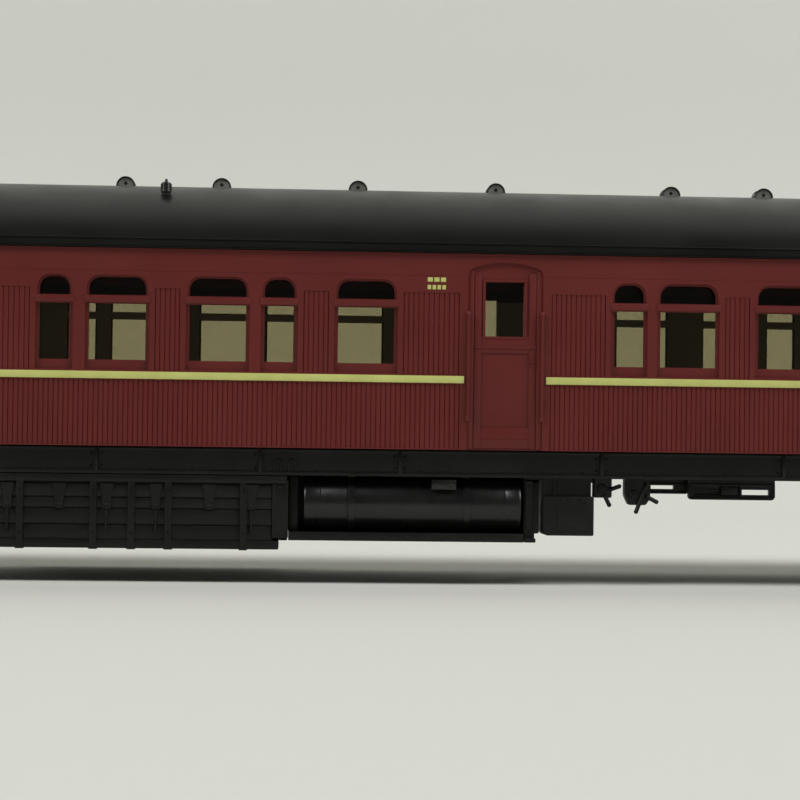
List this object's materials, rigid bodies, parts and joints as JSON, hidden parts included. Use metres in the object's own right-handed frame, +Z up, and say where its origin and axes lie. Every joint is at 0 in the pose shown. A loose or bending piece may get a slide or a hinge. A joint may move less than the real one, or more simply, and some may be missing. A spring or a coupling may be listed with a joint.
{
  "type": "model passenger coach",
  "caption": "Scale model railway passenger coach: panelled body with arched roof, paired sash windows, underfloor gear, swivelling four-wheel bogies and knuckle couplers.",
  "frame": {"origin": "under the middle of the coach, level with the bottoms of the wheel flanges", "axes": "+X along the coach towards the front end, +Y across it towards the far side, +Z up"},
  "size_m": [0.265, 0.034, 0.0481],
  "materials": {
    "maroon_plastic": "satin painted maroon with vertical matchboards",
    "roof_plastic": "satin charcoal",
    "clear_glazing": "clear moulded glazing with a faint warm tint",
    "gangway_rubber": "matt black pleated bellows",
    "bright_steel": "bright turned steel",
    "weight_steel": "plain steel bar",
    "wheel_metal": "chemically blackened wheels with bright treads",
    "vent_metal": "satin charcoal",
    "coupler_plastic": "matt black moulding",
    "underframe_plastic": "satin black moulding"
  },
  "bodies": {
    "coach_body": {"ballast_screw_front": "bright_steel", "ballast_screw_rear": "bright_steel", "ballast_weight": "weight_steel", "battery_box_far": "underframe_plastic", "battery_box_near": "underframe_plastic", "body_shell": "maroon_plastic", "brake_cock_a": "underframe_plastic", "brake_cock_b": "underframe_plastic", "coupler_pocket_front": "underframe_plastic", "coupler_pocket_rear": "underframe_plastic", "equipment_box": "underframe_plastic", "gangway_front": "gangway_rubber", "gangway_rear": "gangway_rubber", "glazing_far": "clear_glazing", "glazing_near": "clear_glazing", "lamp_top": "vent_metal", "link_frame_a": "underframe_plastic", "link_frame_b": "underframe_plastic", "pivot_screw_front": "bright_steel", "pivot_screw_rear": "bright_steel", "roof": "roof_plastic", "roof_vent_01": "vent_metal", "roof_vent_02": "vent_metal", "roof_vent_03": "vent_metal", "roof_vent_04": "vent_metal", "roof_vent_05": "vent_metal", "roof_vent_06": "vent_metal", "roof_vent_07": "vent_metal", "roof_vent_08": "vent_metal", "roof_vent_09": "vent_metal", "roof_vent_10": "vent_metal", "roof_vent_11": "vent_metal", "roof_vent_12": "vent_metal", "roof_vent_13": "vent_metal", "solebar_far": "underframe_plastic", "solebar_near": "underframe_plastic", "tank_bracket": "underframe_plastic", "tank_far": "underframe_plastic", "tank_near": "underframe_plastic", "tank_tray": "underframe_plastic", "underframe_floor": "underframe_plastic"},
    "bogie_front": {"bogie_frame_front": "underframe_plastic"},
    "wheelset_front_inner": {"axle_front_inner": "bright_steel", "wheel_front_inner_near": "wheel_metal", "wheel_front_inner_far": "wheel_metal"},
    "wheelset_front_outer": {"axle_front_outer": "bright_steel", "wheel_front_outer_near": "wheel_metal", "wheel_front_outer_far": "wheel_metal"},
    "coupler_arm_front": {"coupler_front": "coupler_plastic"},
    "knuckle_hook_front": {"knuckle_front": "coupler_plastic"},
    "bogie_rear": {"bogie_frame_rear": "underframe_plastic"},
    "wheelset_rear_inner": {"axle_rear_inner": "bright_steel", "wheel_rear_inner_near": "wheel_metal", "wheel_rear_inner_far": "wheel_metal"},
    "wheelset_rear_outer": {"axle_rear_outer": "bright_steel", "wheel_rear_outer_near": "wheel_metal", "wheel_rear_outer_far": "wheel_metal"},
    "coupler_arm_rear": {"coupler_rear": "coupler_plastic"},
    "knuckle_hook_rear": {"knuckle_rear": "coupler_plastic"}
  },
  "joints": [
    {"name": "bogie_front_swivel", "type": "hinge", "parent": "coach_body", "child": "bogie_front", "pos_m": [0.0875, 0, 0.0109], "axis": [0, 0, 1], "range_deg": [-12, 12]},
    {"name": "wheelset_front_inner_spin", "type": "hinge", "parent": "bogie_front", "child": "wheelset_front_inner", "pos_m": [0.0735, 0, 0.00615], "axis": [0, 1, 0], "continuous": true},
    {"name": "wheelset_front_outer_spin", "type": "hinge", "parent": "bogie_front", "child": "wheelset_front_outer", "pos_m": [0.1015, 0, 0.00615], "axis": [0, 1, 0], "continuous": true},
    {"name": "coupler_front_swing", "type": "hinge", "parent": "coach_body", "child": "coupler_arm_front", "pos_m": [0.1175, 0, 0.0109], "axis": [0, 0, 1], "range_deg": [-8, 8]},
    {"name": "knuckle_front_open", "type": "hinge", "parent": "coupler_arm_front", "child": "knuckle_hook_front", "pos_m": [0.1303, 0.0015, 0.0109], "axis": [0, 0, 1], "range_deg": [0, 30]},
    {"name": "bogie_rear_swivel", "type": "hinge", "parent": "coach_body", "child": "bogie_rear", "pos_m": [-0.0875, 0, 0.0109], "axis": [0, 0, 1], "range_deg": [-12, 12]},
    {"name": "wheelset_rear_inner_spin", "type": "hinge", "parent": "bogie_rear", "child": "wheelset_rear_inner", "pos_m": [-0.0735, 0, 0.00615], "axis": [0, 1, 0], "continuous": true},
    {"name": "wheelset_rear_outer_spin", "type": "hinge", "parent": "bogie_rear", "child": "wheelset_rear_outer", "pos_m": [-0.1015, 0, 0.00615], "axis": [0, 1, 0], "continuous": true},
    {"name": "coupler_rear_swing", "type": "hinge", "parent": "coach_body", "child": "coupler_arm_rear", "pos_m": [-0.1175, 0, 0.0109], "axis": [0, 0, 1], "range_deg": [-8, 8]},
    {"name": "knuckle_rear_open", "type": "hinge", "parent": "coupler_arm_rear", "child": "knuckle_hook_rear", "pos_m": [-0.1303, -0.0015, 0.0109], "axis": [0, 0, 1], "range_deg": [0, 30]}
  ]
}
